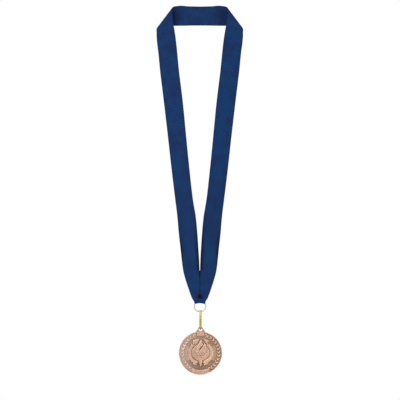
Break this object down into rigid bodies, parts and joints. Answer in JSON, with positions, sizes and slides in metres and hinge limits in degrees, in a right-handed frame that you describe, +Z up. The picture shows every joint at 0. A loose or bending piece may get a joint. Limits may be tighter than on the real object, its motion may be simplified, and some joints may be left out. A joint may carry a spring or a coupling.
{
  "type": "sports medal",
  "caption": "Round cast bronze sports medal with a torch and laurel relief, on a snap hook and ring sewn into a folded navy neck ribbon.",
  "frame": {"origin": "middle of the stretch of ribbon that lies round the neck, on its inner face", "axes": "+Z up, +X to the right as the medal's face is seen, and the medal's face looks along -Y"},
  "size_m": [0.1014, 0.0088, 0.4274],
  "materials": {
    "ribbon_cloth": "cross-ribbed woven ribbon, semi-matte",
    "ring_wire": "pale gilt wire, polished",
    "hook_metal": "gilt, satin",
    "bronze": "antique bronze plate, matte, darker in the recesses"
  },
  "bodies": {
    "band": {"ribbon": "ribbon_cloth", "ring": "ring_wire"},
    "hook": {"clip_body": "hook_metal", "clip_rivet": "hook_metal"},
    "gate": {"clip_gate": "hook_metal"},
    "disc": {"medal": "bronze"}
  },
  "joints": [
    {"name": "hook_swing", "type": "hinge", "parent": "band", "child": "hook", "pos_m": [0, -0.0031, -0.34215], "axis": [1, 0, 0], "range_deg": [-80, 80]},
    {"name": "medal_swing", "type": "hinge", "parent": "hook", "child": "disc", "pos_m": [0, -0.0031, -0.36254], "axis": [0, 1, 0], "range_deg": [-75, 75]},
    {"name": "gate_turn", "type": "hinge", "parent": "hook", "child": "gate", "pos_m": [0, 0.0001, -0.34715], "axis": [-1, 0, 0], "range_deg": [0, 26], "stiffness_Nm_per_rad": 0.005, "springref_deg": -14.32}
  ]
}
